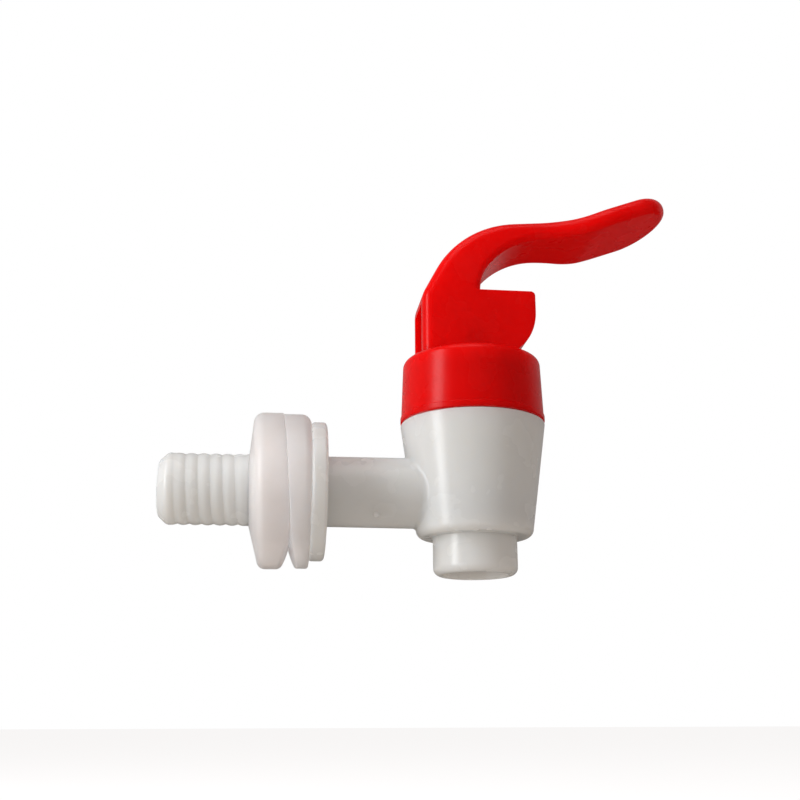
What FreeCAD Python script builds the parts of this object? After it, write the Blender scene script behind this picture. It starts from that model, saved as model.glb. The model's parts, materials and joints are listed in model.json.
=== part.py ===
import FreeCAD, Part
import math
import os

# Push-lever dispenser tap: moulded body with a threaded tail, screw-on collar, swan-neck lever.
# Millimetres. The origin is the centre of the flange's sealing face, on the tail's axis. The
# tail points along -X, the tap's body stands at +X with its outlet down, and Z is up.

# Driving dimensions of the tail, flange and pipe
tail_length = 25.0
tail_radius = 6.0
tail_tip_radius = 4.8
tail_chamfer = 1.1
tail_thread_length = 14.4
tail_shank_radius = 5.6
bore_radius = 4.0
flange_radius = 11.7
flange_thickness = 2.6
flange_edge_radius = 0.6
pipe_radius = 6.0
tap_axis_x = 28.2

# Driving dimensions of the valve cup and the outlet nozzle
cup_top_z = 12.3
cup_top_radius = 12.6
cup_foot_z = -7.5
cup_draft = 2.75
cup_foot_edge_radius = 1.3
cup_rim_chamfer = 0.35
chamber_floor_thickness = 2.4
neck_height = 7.7
neck_inset = 1.9
neck_wall = 1.7
neck_chamfer = 0.4
seat_height = 1.2
seat_inner_radius = 4.8
seat_outer_radius = 6.2
nozzle_length = 6.4
nozzle_radius = 7.15
nozzle_edge_radius = 1.3
outlet_radius = 5.5

# Driving dimensions of the collar
collar_gap = 0.15
collar_foot_inset = 0.15
collar_draft = 0.4
collar_lip_height = 1.1
collar_lip_proud = 0.15
collar_height = 11.35
collar_edge_radius = 1.3
collar_roof_thickness = 2.4
thread_clearance = 0.05
mouth_chamfer = 0.4

# Driving dimensions of the silicone seat cup
rim_thickness = 1.4
rim_inset = 0.3
seat_pad_radius = 6.6
seat_pad_thickness = 2.6
seat_wall = 0.9
bellows_foot_height = 11.5
bellows_clearance = 1.1
hub_radius = 4.0
hub_height = 4.2

# Driving dimensions of the valve stem
stem_radius = 3.0
stem_tip_length = 1.6
stem_groove_radius = 2.3
stem_groove_length = 1.4
stem_pocket_clearance = 0.04
running_clearance = 0.05
head_radius = 2.8
trunnion_radius = 1.6
trunnion_depth = 1.2
trunnion_end_play = 0.15

# Driving dimensions of the return spring
spring_wire_radius = 0.3
spring_gap = 0.12
spring_turns = 5
spring_wire_flats = 6

# Driving dimensions of the lever: block, cam heel and swan neck
lever_width = 13.0
lever_back = 9.4
pivot_height = 3.0
cam_arm = 4.8
cam_gap = 0.05
block_height = 11.5
block_corner_radius = 0.8
slot_width = 8.0
slot_reach = 7.2
slot_roof_height = 9.3
back_edge_radius = 1.8
paddle_edge_radius = 1.2
neck_back_height = 9.4
neck_back_radius = 5.0
neck_back_angle = 62.0
neck_back_run = 4.3
neck_outer_radius = 17.7
neck_inner_x = 0.9
neck_inner_radius = 8.6
neck_inner_angle = 48.0
underside_radius = 14.8
paddle_flat_angle = 5.0
paddle_thickness = 3.3
paddle_length = 19.3
paddle_bend_radius = 18.0
paddle_tip_angle = 20.3
paddle_half_width = 9.1
paddle_flare_length = 13.5
paddle_wide_length = 4.5
paddle_tip_length = 6.8
lever_reach = 36.8

# Driving dimensions of the two washers
washer_hole_clearance = 0.2
washer_gap = 0.05
outer_washer_overhang = 0.5
outer_washer_hub_x = -10.1
outer_washer_far_x = -9.0
outer_washer_far_lean_deg = -2.3
outer_washer_near_x = -4.15
outer_washer_near_ease = 0.2
outer_washer_edge_radius = 2.0
seam_radius = 8.9
seam_x = -3.15
inner_washer_inset = 0.15
inner_washer_top = 4.7
inner_washer_foot = 2.1
inner_washer_edge_radius = 1.3

# Sizes that follow from the driving dimensions
cup_foot_radius = cup_top_radius - cup_draft
neck_radius = cup_top_radius - neck_inset
chamber_radius = neck_radius - neck_wall
collar_foot_radius = cup_top_radius - collar_foot_inset
collar_top_radius = collar_foot_radius - collar_draft
rim_radius = neck_radius - rim_inset
bellows_radius = chamber_radius - bellows_clearance
paddle_bend_x = lever_reach - paddle_length
paddle_round_x = lever_reach - paddle_tip_length
paddle_flare_end_x = paddle_round_x - paddle_wide_length
paddle_flare_start_x = paddle_flare_end_x - paddle_flare_length
outer_washer_radius = cup_top_radius + outer_washer_overhang
inner_washer_radius = outer_washer_radius - inner_washer_inset
outer_washer_centre_x = (outer_washer_far_x + outer_washer_near_x) / 2
chamber_floor_z = cup_foot_z + chamber_floor_thickness
seat_z = chamber_floor_z + seat_height
nozzle_foot_z = cup_foot_z - nozzle_length
neck_top_z = cup_top_z + neck_height
collar_foot_z = cup_top_z + collar_gap
collar_top_z = collar_foot_z + collar_height
ceiling_z = collar_top_z - collar_roof_thickness
stem_hole_radius = stem_radius + running_clearance
pivot_z = collar_top_z + pivot_height
base_z = collar_top_z + cam_gap
block_top_z = collar_top_z + block_height
stem_foot_z = seat_z + seat_pad_thickness - stem_tip_length
washer_hole_radius = tail_shank_radius + washer_hole_clearance

# How far a point may lie off a path and still belong to it, and a cutting shape reaches past its cut
path_tolerance = 0.01
overrun = 2.0

# Flats on the eased edge of a turned piece, and arcs on the cam heel
edge_flats = 2
cam_heel_arcs = 6

UP = FreeCAD.Vector(0, 0, 1)
ALONG = FreeCAD.Vector(1, 0, 0)
ACROSS = FreeCAD.Vector(0, 1, 0)


def side_point(x, z):
    """Return a point of the upright middle plane."""
    return FreeCAD.Vector(x, 0, z)


def eased_outline(corners):
    """Return a closed wire through (x, z) or (x, z, edge radius) corners of the middle plane.

    A corner with an edge radius is eased by flats that lie on its arc, edge_flats of them.
    """
    points = []
    for i, (x, z, *edge) in enumerate(corners):
        corner = side_point(x, z)
        if not edge:
            points.append(corner)
            continue
        radius = edge[0]
        back = (side_point(*corners[i - 1][:2]) - corner).normalize()
        ahead = (side_point(*corners[(i + 1) % len(corners)][:2]) - corner).normalize()
        half_angle = back.getAngle(ahead) / 2
        turn = math.pi / 2 - half_angle
        inwards = (back + ahead).normalize()
        along = (ahead - back).normalize()
        centre = corner + inwards * (radius / math.sin(half_angle))
        for step in range(edge_flats + 1):
            angle = turn * (2 * step / edge_flats - 1)
            points.append(centre + (along * math.sin(angle) - inwards * math.cos(angle)) * radius)
    return Part.makePolygon(points + points[:1])


def turned(corners, centre, axis):
    """Revolve a closed outline of the middle plane once round an axis."""
    return Part.Face(Part.Wire(eased_outline(corners))).revolve(centre, axis, 360)


def turned_upright(corners):
    """Revolve (radius, z) or (radius, z, edge radius) corners round the tap's upright axis."""
    centre = side_point(tap_axis_x, 0)
    return turned([(tap_axis_x + corner[0], *corner[1:]) for corner in corners], centre, UP)


def turned_along(corners):
    """Revolve (x, radius) or (x, radius, edge radius) corners round the tail's axis."""
    return turned(corners, FreeCAD.Vector(), ALONG)


def upright_rod(radius, foot_z, top_z):
    """Return a cylinder on the tap's upright axis."""
    return Part.makeCylinder(radius, top_z - foot_z, side_point(tap_axis_x, foot_z), UP)


def make_tap_body():
    """One moulding: tail, flange, pipe, valve cup with its seat, and outlet nozzle."""
    tail = turned_along([
        (-tail_length, 0),
        (-tail_length, tail_tip_radius),
        (-tail_length + tail_chamfer, tail_radius),
        (-tail_length + tail_thread_length, tail_radius),
        (-tail_length + tail_thread_length, tail_shank_radius),
        (0, tail_shank_radius),
        (0, 0),
    ])
    flange = turned_along([
        (0, 0),
        (0, flange_radius, flange_edge_radius),
        (flange_thickness, flange_radius, flange_edge_radius),
        (flange_thickness, 0),
    ])
    pipe = Part.makeCylinder(pipe_radius, tap_axis_x, FreeCAD.Vector(), ALONG)

    cup = turned_upright([
        (0, cup_foot_z),
        (cup_foot_radius, cup_foot_z, cup_foot_edge_radius),
        (cup_top_radius, cup_top_z - cup_rim_chamfer),
        (cup_top_radius - cup_rim_chamfer, cup_top_z),
        (neck_radius, cup_top_z),
        (neck_radius, neck_top_z - neck_chamfer),
        (neck_radius - neck_chamfer, neck_top_z),
        (0, neck_top_z),
    ])
    nozzle = turned_upright([
        (0, nozzle_foot_z),
        (nozzle_radius, nozzle_foot_z, nozzle_edge_radius),
        (nozzle_radius, chamber_floor_z),
        (0, chamber_floor_z),
    ])

    chamber = upright_rod(chamber_radius, chamber_floor_z, neck_top_z)
    seat = upright_rod(seat_outer_radius, chamber_floor_z, seat_z)
    inlet = Part.makeCylinder(bore_radius, tail_length + tap_axis_x, side_point(-tail_length, 0), ALONG)
    outlet = upright_rod(outlet_radius, nozzle_foot_z, cup_foot_z)
    seat_bore = upright_rod(seat_inner_radius, cup_foot_z, seat_z)

    body = tail.fuse([flange, pipe, cup, nozzle])
    body = body.cut(chamber.cut(seat)).cut(inlet).cut(outlet).cut(seat_bore)
    return body.removeSplitter()


def make_collar():
    """The screw-on collar: drafted skirt with a small foot lip, roof and stem hole."""
    lip_top_z = collar_foot_z + collar_lip_height
    skin = turned_upright([
        (0, collar_foot_z),
        (collar_foot_radius + collar_lip_proud, collar_foot_z),
        (collar_foot_radius + collar_lip_proud, lip_top_z - collar_lip_proud),
        (collar_foot_radius, lip_top_z),
        (collar_top_radius, collar_top_z, collar_edge_radius),
        (0, collar_top_z),
    ])
    thread_radius = neck_radius + thread_clearance
    room = turned_upright([
        (0, collar_foot_z),
        (thread_radius + mouth_chamfer, collar_foot_z),
        (thread_radius, collar_foot_z + mouth_chamfer),
        (thread_radius, ceiling_z),
        (0, ceiling_z),
    ])
    hole = upright_rod(stem_hole_radius, ceiling_z, collar_top_z)
    return skin.cut(room).cut(hole)


def make_seat_cup():
    """The silicone seat cup: seat pad, hub with a snap pocket, bellows wall and clamped rim."""
    pad_top = seat_z + seat_pad_thickness
    fold_z = pad_top + bellows_foot_height
    rim_foot_z = ceiling_z - rim_thickness
    groove_z = stem_foot_z + stem_tip_length
    groove_top = groove_z + stem_groove_length
    pocket = stem_radius + stem_pocket_clearance
    lip = stem_groove_radius + stem_pocket_clearance
    floor_z = stem_foot_z - stem_pocket_clearance
    return turned_upright([
        (0, seat_z),
        (seat_pad_radius, seat_z),
        (seat_pad_radius, fold_z),
        (bellows_radius, rim_foot_z - seat_wall),
        (bellows_radius, rim_foot_z),
        (rim_radius, rim_foot_z),
        (rim_radius, ceiling_z),
        (bellows_radius - seat_wall, ceiling_z),
        (bellows_radius - seat_wall, rim_foot_z - seat_wall),
        (seat_pad_radius - seat_wall, fold_z),
        (seat_pad_radius - seat_wall, pad_top),
        (hub_radius, pad_top),
        (hub_radius, pad_top + hub_height),
        (pocket, pad_top + hub_height),
        (pocket, groove_top - stem_pocket_clearance),
        (lip, groove_top - stem_pocket_clearance),
        (lip, groove_z + stem_pocket_clearance),
        (pocket, groove_z + stem_pocket_clearance),
        (pocket, floor_z),
        (0, floor_z),
    ])


def make_valve_stem():
    """The stem: snap tip, round shaft and a barrel head with two trunnions."""
    groove_z = stem_foot_z + stem_tip_length
    shaft = turned_upright([
        (0, stem_foot_z),
        (stem_radius, stem_foot_z),
        (stem_radius, groove_z),
        (stem_groove_radius, groove_z),
        (stem_groove_radius, groove_z + stem_groove_length),
        (stem_radius, groove_z + stem_groove_length),
        (stem_radius, pivot_z),
        (0, pivot_z),
    ])
    head_half = slot_width / 2 - trunnion_end_play
    pin_half = slot_width / 2 + trunnion_depth - trunnion_end_play
    head_start = FreeCAD.Vector(tap_axis_x, -head_half, pivot_z)
    pin_start = FreeCAD.Vector(tap_axis_x, -pin_half, pivot_z)
    head = Part.makeCylinder(head_radius, 2 * head_half, head_start, ACROSS)
    pins = Part.makeCylinder(trunnion_radius, 2 * pin_half, pin_start, ACROSS)
    return shaft.fuse([head, pins]).removeSplitter()


def make_return_spring():
    """The steel spring between the seat cup's pad and the collar's roof, its wire cut to flats."""
    foot_z = seat_z + seat_pad_thickness + spring_gap + spring_wire_radius
    top_z = ceiling_z - spring_gap - spring_wire_radius
    coil_radius = (hub_radius + seat_pad_radius - seat_wall) / 2
    pitch = (top_z - foot_z) / spring_turns
    helix = Part.makeHelix(pitch, top_z - foot_z, coil_radius)
    slope = math.atan2(pitch, 2 * math.pi * coil_radius)
    along_wire = FreeCAD.Vector(0, math.cos(slope), math.sin(slope))
    outwards = side_point(spring_wire_radius, 0)
    sideways = along_wire.cross(ALONG) * spring_wire_radius
    corners = []
    for i in range(spring_wire_flats + 1):
        angle = 2 * math.pi * i / spring_wire_flats
        corners.append(side_point(coil_radius, 0) + outwards * math.cos(angle) + sideways * math.sin(angle))
    spring = Part.Wire(helix).makePipeShell([Part.makePolygon(corners)], True, True)
    spring.translate(side_point(tap_axis_x, foot_z))
    return spring


class SidePath:
    """A path of tangent lines and arcs in the upright middle plane, in lever coordinates."""

    def __init__(self, x, z, heading_deg):
        self.x = x
        self.z = z
        self.heading = math.radians(heading_deg)
        self.edges = []

    def run(self, length):
        """Go straight on."""
        start = side_point(self.x, self.z)
        self.x += length * math.cos(self.heading)
        self.z += length * math.sin(self.heading)
        self.edges.append(Part.makeLine(start, side_point(self.x, self.z)))
        return self

    def run_to_x(self, x):
        """Go straight on until the path reaches x."""
        return self.run((x - self.x) / math.cos(self.heading))

    def turn(self, radius, heading_deg):
        """Bend on an arc until the path has the heading."""
        goal = math.radians(heading_deg)
        side = 1 if goal > self.heading else -1
        middle = (self.heading + goal) / 2
        centre_x = self.x - side * radius * math.sin(self.heading)
        centre_z = self.z + side * radius * math.cos(self.heading)
        start = side_point(self.x, self.z)
        arc_x = centre_x + side * radius * math.sin(middle)
        arc_z = centre_z - side * radius * math.cos(middle)
        on_arc = side_point(arc_x, arc_z)
        self.x = centre_x + side * radius * math.sin(goal)
        self.z = centre_z - side * radius * math.cos(goal)
        self.edges.append(Part.Arc(start, on_arc, side_point(self.x, self.z)).toShape())
        self.heading = goal
        return self


def make_heel_path():
    """Return the cam heel, from the flat base up to the block's front.

    The heel's radius grows evenly with the angle that it has turned, so the collar's flat top
    lifts the pivot by cam_arm for each radian of the lever's travel.
    """
    path = SidePath(cam_arm, base_z, 0)
    step_deg = 90 / cam_heel_arcs
    for i in range(cam_heel_arcs):
        middle = math.radians((i + 0.5) * step_deg)
        path.turn(pivot_height - cam_gap + cam_arm * middle, (i + 1) * step_deg)
    return path


def make_back_path():
    """Return the path up the lever's back and along the top of its neck and paddle."""
    path = SidePath(-lever_back, base_z, 90)
    path.run(neck_back_height)
    path.turn(neck_back_radius, neck_back_angle)
    path.run(neck_back_run)
    path.turn(neck_outer_radius, paddle_flat_angle)
    path.run_to_x(paddle_bend_x)
    path.turn(paddle_bend_radius, paddle_tip_angle)
    return path.run_to_x(lever_reach + overrun)


def make_underside_path():
    """Return the path up the inside of the neck and along the underside of the paddle."""
    path = SidePath(neck_inner_x, block_top_z, 90)
    path.turn(neck_inner_radius, neck_inner_angle)
    path.turn(underside_radius, paddle_flat_angle)
    path.run_to_x(paddle_bend_x + paddle_thickness * math.sin(math.radians(paddle_flat_angle)))
    path.turn(paddle_bend_radius + paddle_thickness, paddle_tip_angle)
    return path.run_to_x(lever_reach + overrun)


def make_lever_side():
    """Return the lever's side outline: base, heel, block, swan neck and paddle."""
    back = make_back_path()
    underside = make_underside_path()
    front = make_heel_path()
    front.run(block_top_z - block_corner_radius - front.z)
    front.turn(block_corner_radius, 180)
    front.run(front.x - neck_inner_x)
    across = [
        Part.makeLine(side_point(-lever_back, base_z), side_point(cam_arm, base_z)),
        Part.makeLine(side_point(underside.x, underside.z), side_point(back.x, back.z)),
    ]
    return Part.Wire(Part.__sortEdges__(across + front.edges + back.edges + underside.edges))


def make_lever_plan():
    """Return the lever's outline from above: straight block, flared paddle and round tip."""
    half = lever_width / 2
    start = -lever_back - overrun
    middle_x = (paddle_flare_start_x + paddle_flare_end_x) / 2
    middle_y = (half + paddle_half_width) / 2

    def flare(side):
        curve = Part.BSplineCurve()
        curve.interpolate(
            Points=[
                FreeCAD.Vector(paddle_flare_start_x, side * half, 0),
                FreeCAD.Vector(middle_x, side * middle_y, 0),
                FreeCAD.Vector(paddle_flare_end_x, side * paddle_half_width, 0),
            ],
            InitialTangent=ALONG,
            FinalTangent=ALONG,
        )
        return curve.toShape()

    def line(x0, y0, x1, y1):
        return Part.makeLine(FreeCAD.Vector(x0, y0, 0), FreeCAD.Vector(x1, y1, 0))

    wide = paddle_half_width
    tip = Part.Ellipse(
        FreeCAD.Vector(paddle_round_x, wide, 0),
        FreeCAD.Vector(lever_reach, 0, 0),
        FreeCAD.Vector(paddle_round_x, 0, 0),
    )
    low = tip.parameter(FreeCAD.Vector(paddle_round_x, -wide, 0))
    high = tip.parameter(FreeCAD.Vector(paddle_round_x, wide, 0))
    edges = [
        line(start, -half, paddle_flare_start_x, -half),
        flare(-1),
        line(paddle_flare_end_x, -wide, paddle_round_x, -wide),
        tip.toShape(min(low, high), max(low, high)),
        line(paddle_round_x, wide, paddle_flare_end_x, wide),
        flare(1),
        line(paddle_flare_start_x, half, start, half),
        line(start, half, start, -half),
    ]
    return Part.Wire(Part.__sortEdges__(edges))


def edges_on_path(shape, path):
    """Return the shape's edges that follow a side path, without the lines across the shape."""
    wire = Part.Wire(path.edges)
    found = []
    for edge in shape.Edges:
        start = edge.Vertexes[0].Point
        end = edge.Vertexes[-1].Point
        middle = edge.valueAt((edge.FirstParameter + edge.LastParameter) / 2)
        on_side = [side_point(p.x, p.z) for p in (start, middle, end)]
        straight_across = (
            isinstance(edge.Curve, Part.Line)
            and on_side[0].distanceToPoint(on_side[2]) < path_tolerance
        )
        if straight_across:
            continue
        if all(wire.distToShape(Part.Vertex(p))[0] < path_tolerance for p in on_side):
            found.append(edge)
    return found


def make_lever():
    """The press lever: channel block on the trunnions, cam heel, swan neck and paddle."""
    depth = 2 * (paddle_half_width + overrun)
    side = Part.Face(make_lever_side()).extrude(FreeCAD.Vector(0, depth, 0))
    side.translate(FreeCAD.Vector(0, -depth / 2, 0))
    plan = Part.Face(make_lever_plan()).extrude(FreeCAD.Vector(0, 0, side.BoundBox.ZLength + 2 * overrun))
    plan.translate(FreeCAD.Vector(0, 0, base_z - overrun))
    lever = side.common(plan)
    lever = lever.makeFillet(paddle_edge_radius, edges_on_path(lever, make_underside_path()))
    lever = lever.makeFillet(back_edge_radius, edges_on_path(lever, make_back_path()))

    slot_depth = lever_back + slot_reach
    slot_foot = FreeCAD.Vector(-lever_back, -slot_width / 2, base_z)
    slot = Part.makeBox(slot_depth, slot_width, slot_roof_height, slot_foot)
    socket_half = slot_width / 2 + trunnion_depth
    socket_radius = trunnion_radius + running_clearance
    socket_start = FreeCAD.Vector(0, -socket_half, pivot_z)
    sockets = Part.makeCylinder(socket_radius, 2 * socket_half, socket_start, ACROSS)
    lever = lever.cut(slot).cut(sockets)
    lever.translate(side_point(tap_axis_x, 0))
    return lever


def seam_side(gap):
    """Return the inner washer's far side from foot to top, moved out by a gap."""
    return [
        (-inner_washer_foot - gap, -inner_washer_radius),
        (seam_x - gap, -seam_radius),
        (-inner_washer_top - gap, inner_washer_radius),
    ]


def cut_to_side(ring, corners):
    """Return what lies within a side outline of the middle plane."""
    reach = outer_washer_radius + overrun
    side = Part.Face(Part.Wire(eased_outline(corners))).extrude(ACROSS * (2 * reach))
    side.translate(ACROSS * -reach)
    return ring.common(side)


def make_outer_washer():
    """The outer silicone washer: a leaning lens, pressed against the inner washer.

    It touches the inner washer up to seam_radius, and curves away from it below.
    """
    radius = outer_washer_radius
    reach = radius + overrun
    far_x = outer_washer_hub_x - overrun
    far_part = turned_along([
        (outer_washer_hub_x, washer_hole_radius),
        (outer_washer_far_x, radius, outer_washer_edge_radius),
        (0, radius),
        (0, washer_hole_radius),
    ])
    far_part.rotate(side_point(outer_washer_centre_x, 0), ACROSS, outer_washer_far_lean_deg)
    near_part = turned_along([
        (far_x, washer_hole_radius),
        (far_x, radius + outer_washer_near_ease),
        (outer_washer_near_x, radius + outer_washer_near_ease, outer_washer_edge_radius),
        (seam_x, seam_radius),
        (0, seam_radius),
        (0, washer_hole_radius),
    ])
    seam_top_x = -inner_washer_top - washer_gap
    side = [(seam_top_x, reach), (far_x, reach), (far_x, -reach), (outer_washer_near_x, -reach)]
    return cut_to_side(far_part.common(near_part), side + seam_side(washer_gap))


def make_inner_washer():
    """The inner silicone washer, flat on the flange and squeezed thinner at its foot."""
    radius = inner_washer_radius
    ring = turned_along([
        (-inner_washer_top, washer_hole_radius),
        (-inner_washer_top, radius),
        (0, radius, inner_washer_edge_radius),
        (0, washer_hole_radius),
    ])
    return cut_to_side(ring, [(0, radius), (0, -radius)] + seam_side(0))


def main():
    """Build every piece and write each to its own file."""
    os.makedirs("parts", exist_ok=True)
    pieces = {
        "tap_body": make_tap_body(),
        "collar": make_collar(),
        "seat_cup": make_seat_cup(),
        "valve_stem": make_valve_stem(),
        "return_spring": make_return_spring(),
        "lever": make_lever(),
        "outer_washer": make_outer_washer(),
        "inner_washer": make_inner_washer(),
    }
    for name, shape in pieces.items():
        shape.exportStep("parts/" + name + ".step")


main()
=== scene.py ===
"""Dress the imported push-lever dispenser tap: body, collar, lever, washers and valve.

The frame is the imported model's: metres, with the origin at the centre of the flange's sealing
face, the tail along -X, the tap's body at +X with its outlet down, and Z up. Sizes in the classes
are millimetres, and become metres where a mesh is made.
"""

import json
import logging
import math
from dataclasses import dataclass
from enum import Enum
from typing import Any, Callable, Mapping, Optional, Sequence

import bmesh
import bpy
from mathutils import Euler, Matrix, Vector


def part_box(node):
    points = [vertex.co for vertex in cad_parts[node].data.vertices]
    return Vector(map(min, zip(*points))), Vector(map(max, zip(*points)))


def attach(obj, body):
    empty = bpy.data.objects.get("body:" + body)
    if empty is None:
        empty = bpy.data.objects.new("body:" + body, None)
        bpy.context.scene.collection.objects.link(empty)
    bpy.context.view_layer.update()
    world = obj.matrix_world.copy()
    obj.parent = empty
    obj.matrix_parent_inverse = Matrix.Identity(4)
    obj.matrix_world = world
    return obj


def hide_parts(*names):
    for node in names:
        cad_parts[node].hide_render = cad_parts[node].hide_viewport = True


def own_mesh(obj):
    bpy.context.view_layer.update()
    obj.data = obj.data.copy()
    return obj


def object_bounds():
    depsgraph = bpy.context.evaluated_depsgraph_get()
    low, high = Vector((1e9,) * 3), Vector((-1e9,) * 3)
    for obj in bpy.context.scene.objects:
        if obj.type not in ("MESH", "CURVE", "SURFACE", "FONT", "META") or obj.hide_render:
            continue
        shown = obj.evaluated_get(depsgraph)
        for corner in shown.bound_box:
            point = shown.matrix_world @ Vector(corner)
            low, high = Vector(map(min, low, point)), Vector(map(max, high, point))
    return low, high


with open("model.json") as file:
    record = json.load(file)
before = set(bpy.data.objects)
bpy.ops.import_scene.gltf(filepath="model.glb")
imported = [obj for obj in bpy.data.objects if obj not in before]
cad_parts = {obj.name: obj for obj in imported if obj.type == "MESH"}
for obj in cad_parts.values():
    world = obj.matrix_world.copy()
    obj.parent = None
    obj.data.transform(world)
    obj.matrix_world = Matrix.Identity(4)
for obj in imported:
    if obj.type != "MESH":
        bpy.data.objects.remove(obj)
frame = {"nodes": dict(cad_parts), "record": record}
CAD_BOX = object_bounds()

LOG = logging.getLogger("dispenser_tap")
MM = 0.001

Colour = tuple[float, float, float]
Point = tuple[float, float]


class Body(Enum):
    """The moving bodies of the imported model."""

    HOUSING = "housing"
    STEM = "stem"
    LEVER = "lever"


class Slot(Enum):
    """The record's material slots."""

    WHITE_PLASTIC = "white_plastic"
    RED_PLASTIC = "red_plastic"
    STEM_PLASTIC = "stem_plastic"
    SILICONE = "silicone"
    SPRING_STEEL = "spring_steel"


class Axis(Enum):
    """The axis that a turned piece is turned about."""

    TAIL = "along the tail"
    TAP = "upright through the tap"


def mount(name: str) -> Mapping[str, Any]:
    """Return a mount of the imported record.

    Args:
        name: The mount's name.

    Returns:
        The mount's record, with its place in metres and its sizes in millimetres.
    """
    return next(m for m in frame["record"]["mounts"] if m["name"] == name)


def node_box(name: str) -> tuple[Vector, Vector]:
    """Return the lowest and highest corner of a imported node, in millimetres."""
    low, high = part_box(name)
    return low / MM, high / MM


TAP_AXIS_X = mount("outlet_bore")["pos_m"][0] / MM
BORE_RADIUS = mount("inlet_bore")["dims"]["r_mm"]
OUTLET_RADIUS = mount("outlet_bore")["dims"]["r_mm"]
THREAD_RADIUS = mount("tail")["dims"]["r_mm"]
BODY_LOW, BODY_HIGH = node_box("tap_body")
COLLAR_LOW, COLLAR_HIGH = node_box("collar")


# Node trees


@dataclass
class NodeGraph:
    """Adds nodes to one node tree and wires them up."""

    tree: bpy.types.NodeTree

    def add(
        self, kind: str, inputs: Optional[Mapping[Any, Any]] = None, **settings: Any
    ) -> bpy.types.Node:
        """Add a node.

        Args:
            kind: The node's type.
            inputs: Values or sockets for its inputs, by name or number.
            **settings: The node's own settings.

        Returns:
            The new node.
        """
        node = self.tree.nodes.new(kind)
        for key, value in settings.items():
            setattr(node, key, value)
        for key, value in (inputs or {}).items():
            self.feed(node.inputs[key], value)
        return node

    def feed(self, socket: bpy.types.NodeSocket, value: Any) -> None:
        """Wire a socket into an input, or set the input's own value.

        Args:
            socket: The input.
            value: The socket, or the value.
        """
        if isinstance(value, bpy.types.NodeSocket):
            self.tree.links.new(value, socket)
        else:
            socket.default_value = value

    def math(self, operation: str, *values: Any) -> bpy.types.NodeSocket:
        """Return the result of a Math node on sockets or numbers."""
        return self.add("ShaderNodeMath", dict(enumerate(values)), operation=operation).outputs[0]

    def fade(self, value: Any, start: Any, end: Any) -> bpy.types.NodeSocket:
        """Return a smooth step from 0 at start to 1 at end."""
        inputs = {"Value": value, "From Min": start, "From Max": end}
        return self.add("ShaderNodeMapRange", inputs, interpolation_type="SMOOTHSTEP").outputs[0]

    def noise(self, place: Any, size: float, detail: float = 2.0) -> bpy.types.NodeSocket:
        """Return noise of a size in millimetres."""
        inputs = {"Vector": place, "Scale": 1 / (size * MM), "Detail": detail}
        return self.add("ShaderNodeTexNoise", inputs).outputs[0]

    def bump(self, height: Any, depth: float, strength: float = 1.0) -> bpy.types.NodeSocket:
        """Return the normal of a relief that is a depth in metres high where its height is 1."""
        inputs = {"Strength": strength, "Distance": depth, "Height": height}
        return self.add("ShaderNodeBump", inputs).outputs["Normal"]

    def mix(self, share: Any, first: Any, second: Any, blend: str = "MIX") -> bpy.types.NodeSocket:
        """Blend two colours.

        Args:
            share: How much of the second colour there is.
            first: The first colour, with its alpha.
            second: The second colour, with its alpha.
            blend: MIX or MULTIPLY.

        Returns:
            The blended colour.
        """
        inputs = {"Factor": share, "A": first, "B": second}
        node = self.add("ShaderNodeMix", inputs, data_type="RGBA", blend_type=blend)
        return node.outputs["Result"]


def new_material(name: str) -> tuple[bpy.types.Material, NodeGraph]:
    """Start a node material.

    Args:
        name: The material's name.

    Returns:
        The empty material and its graph.
    """
    material = bpy.data.materials.new(name)
    material.use_nodes = True
    material.node_tree.nodes.clear()
    return material, NodeGraph(material.node_tree)


# Finishes


# The noise between which a cloud and a hazy place set in
CLOUD_EDGES = (0.35, 0.7)
HAZE_EDGES = (0.4, 0.75)
CLOUD_DETAIL = 3.0
RIPPLES_PER_CLOUD = 3.0


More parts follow.
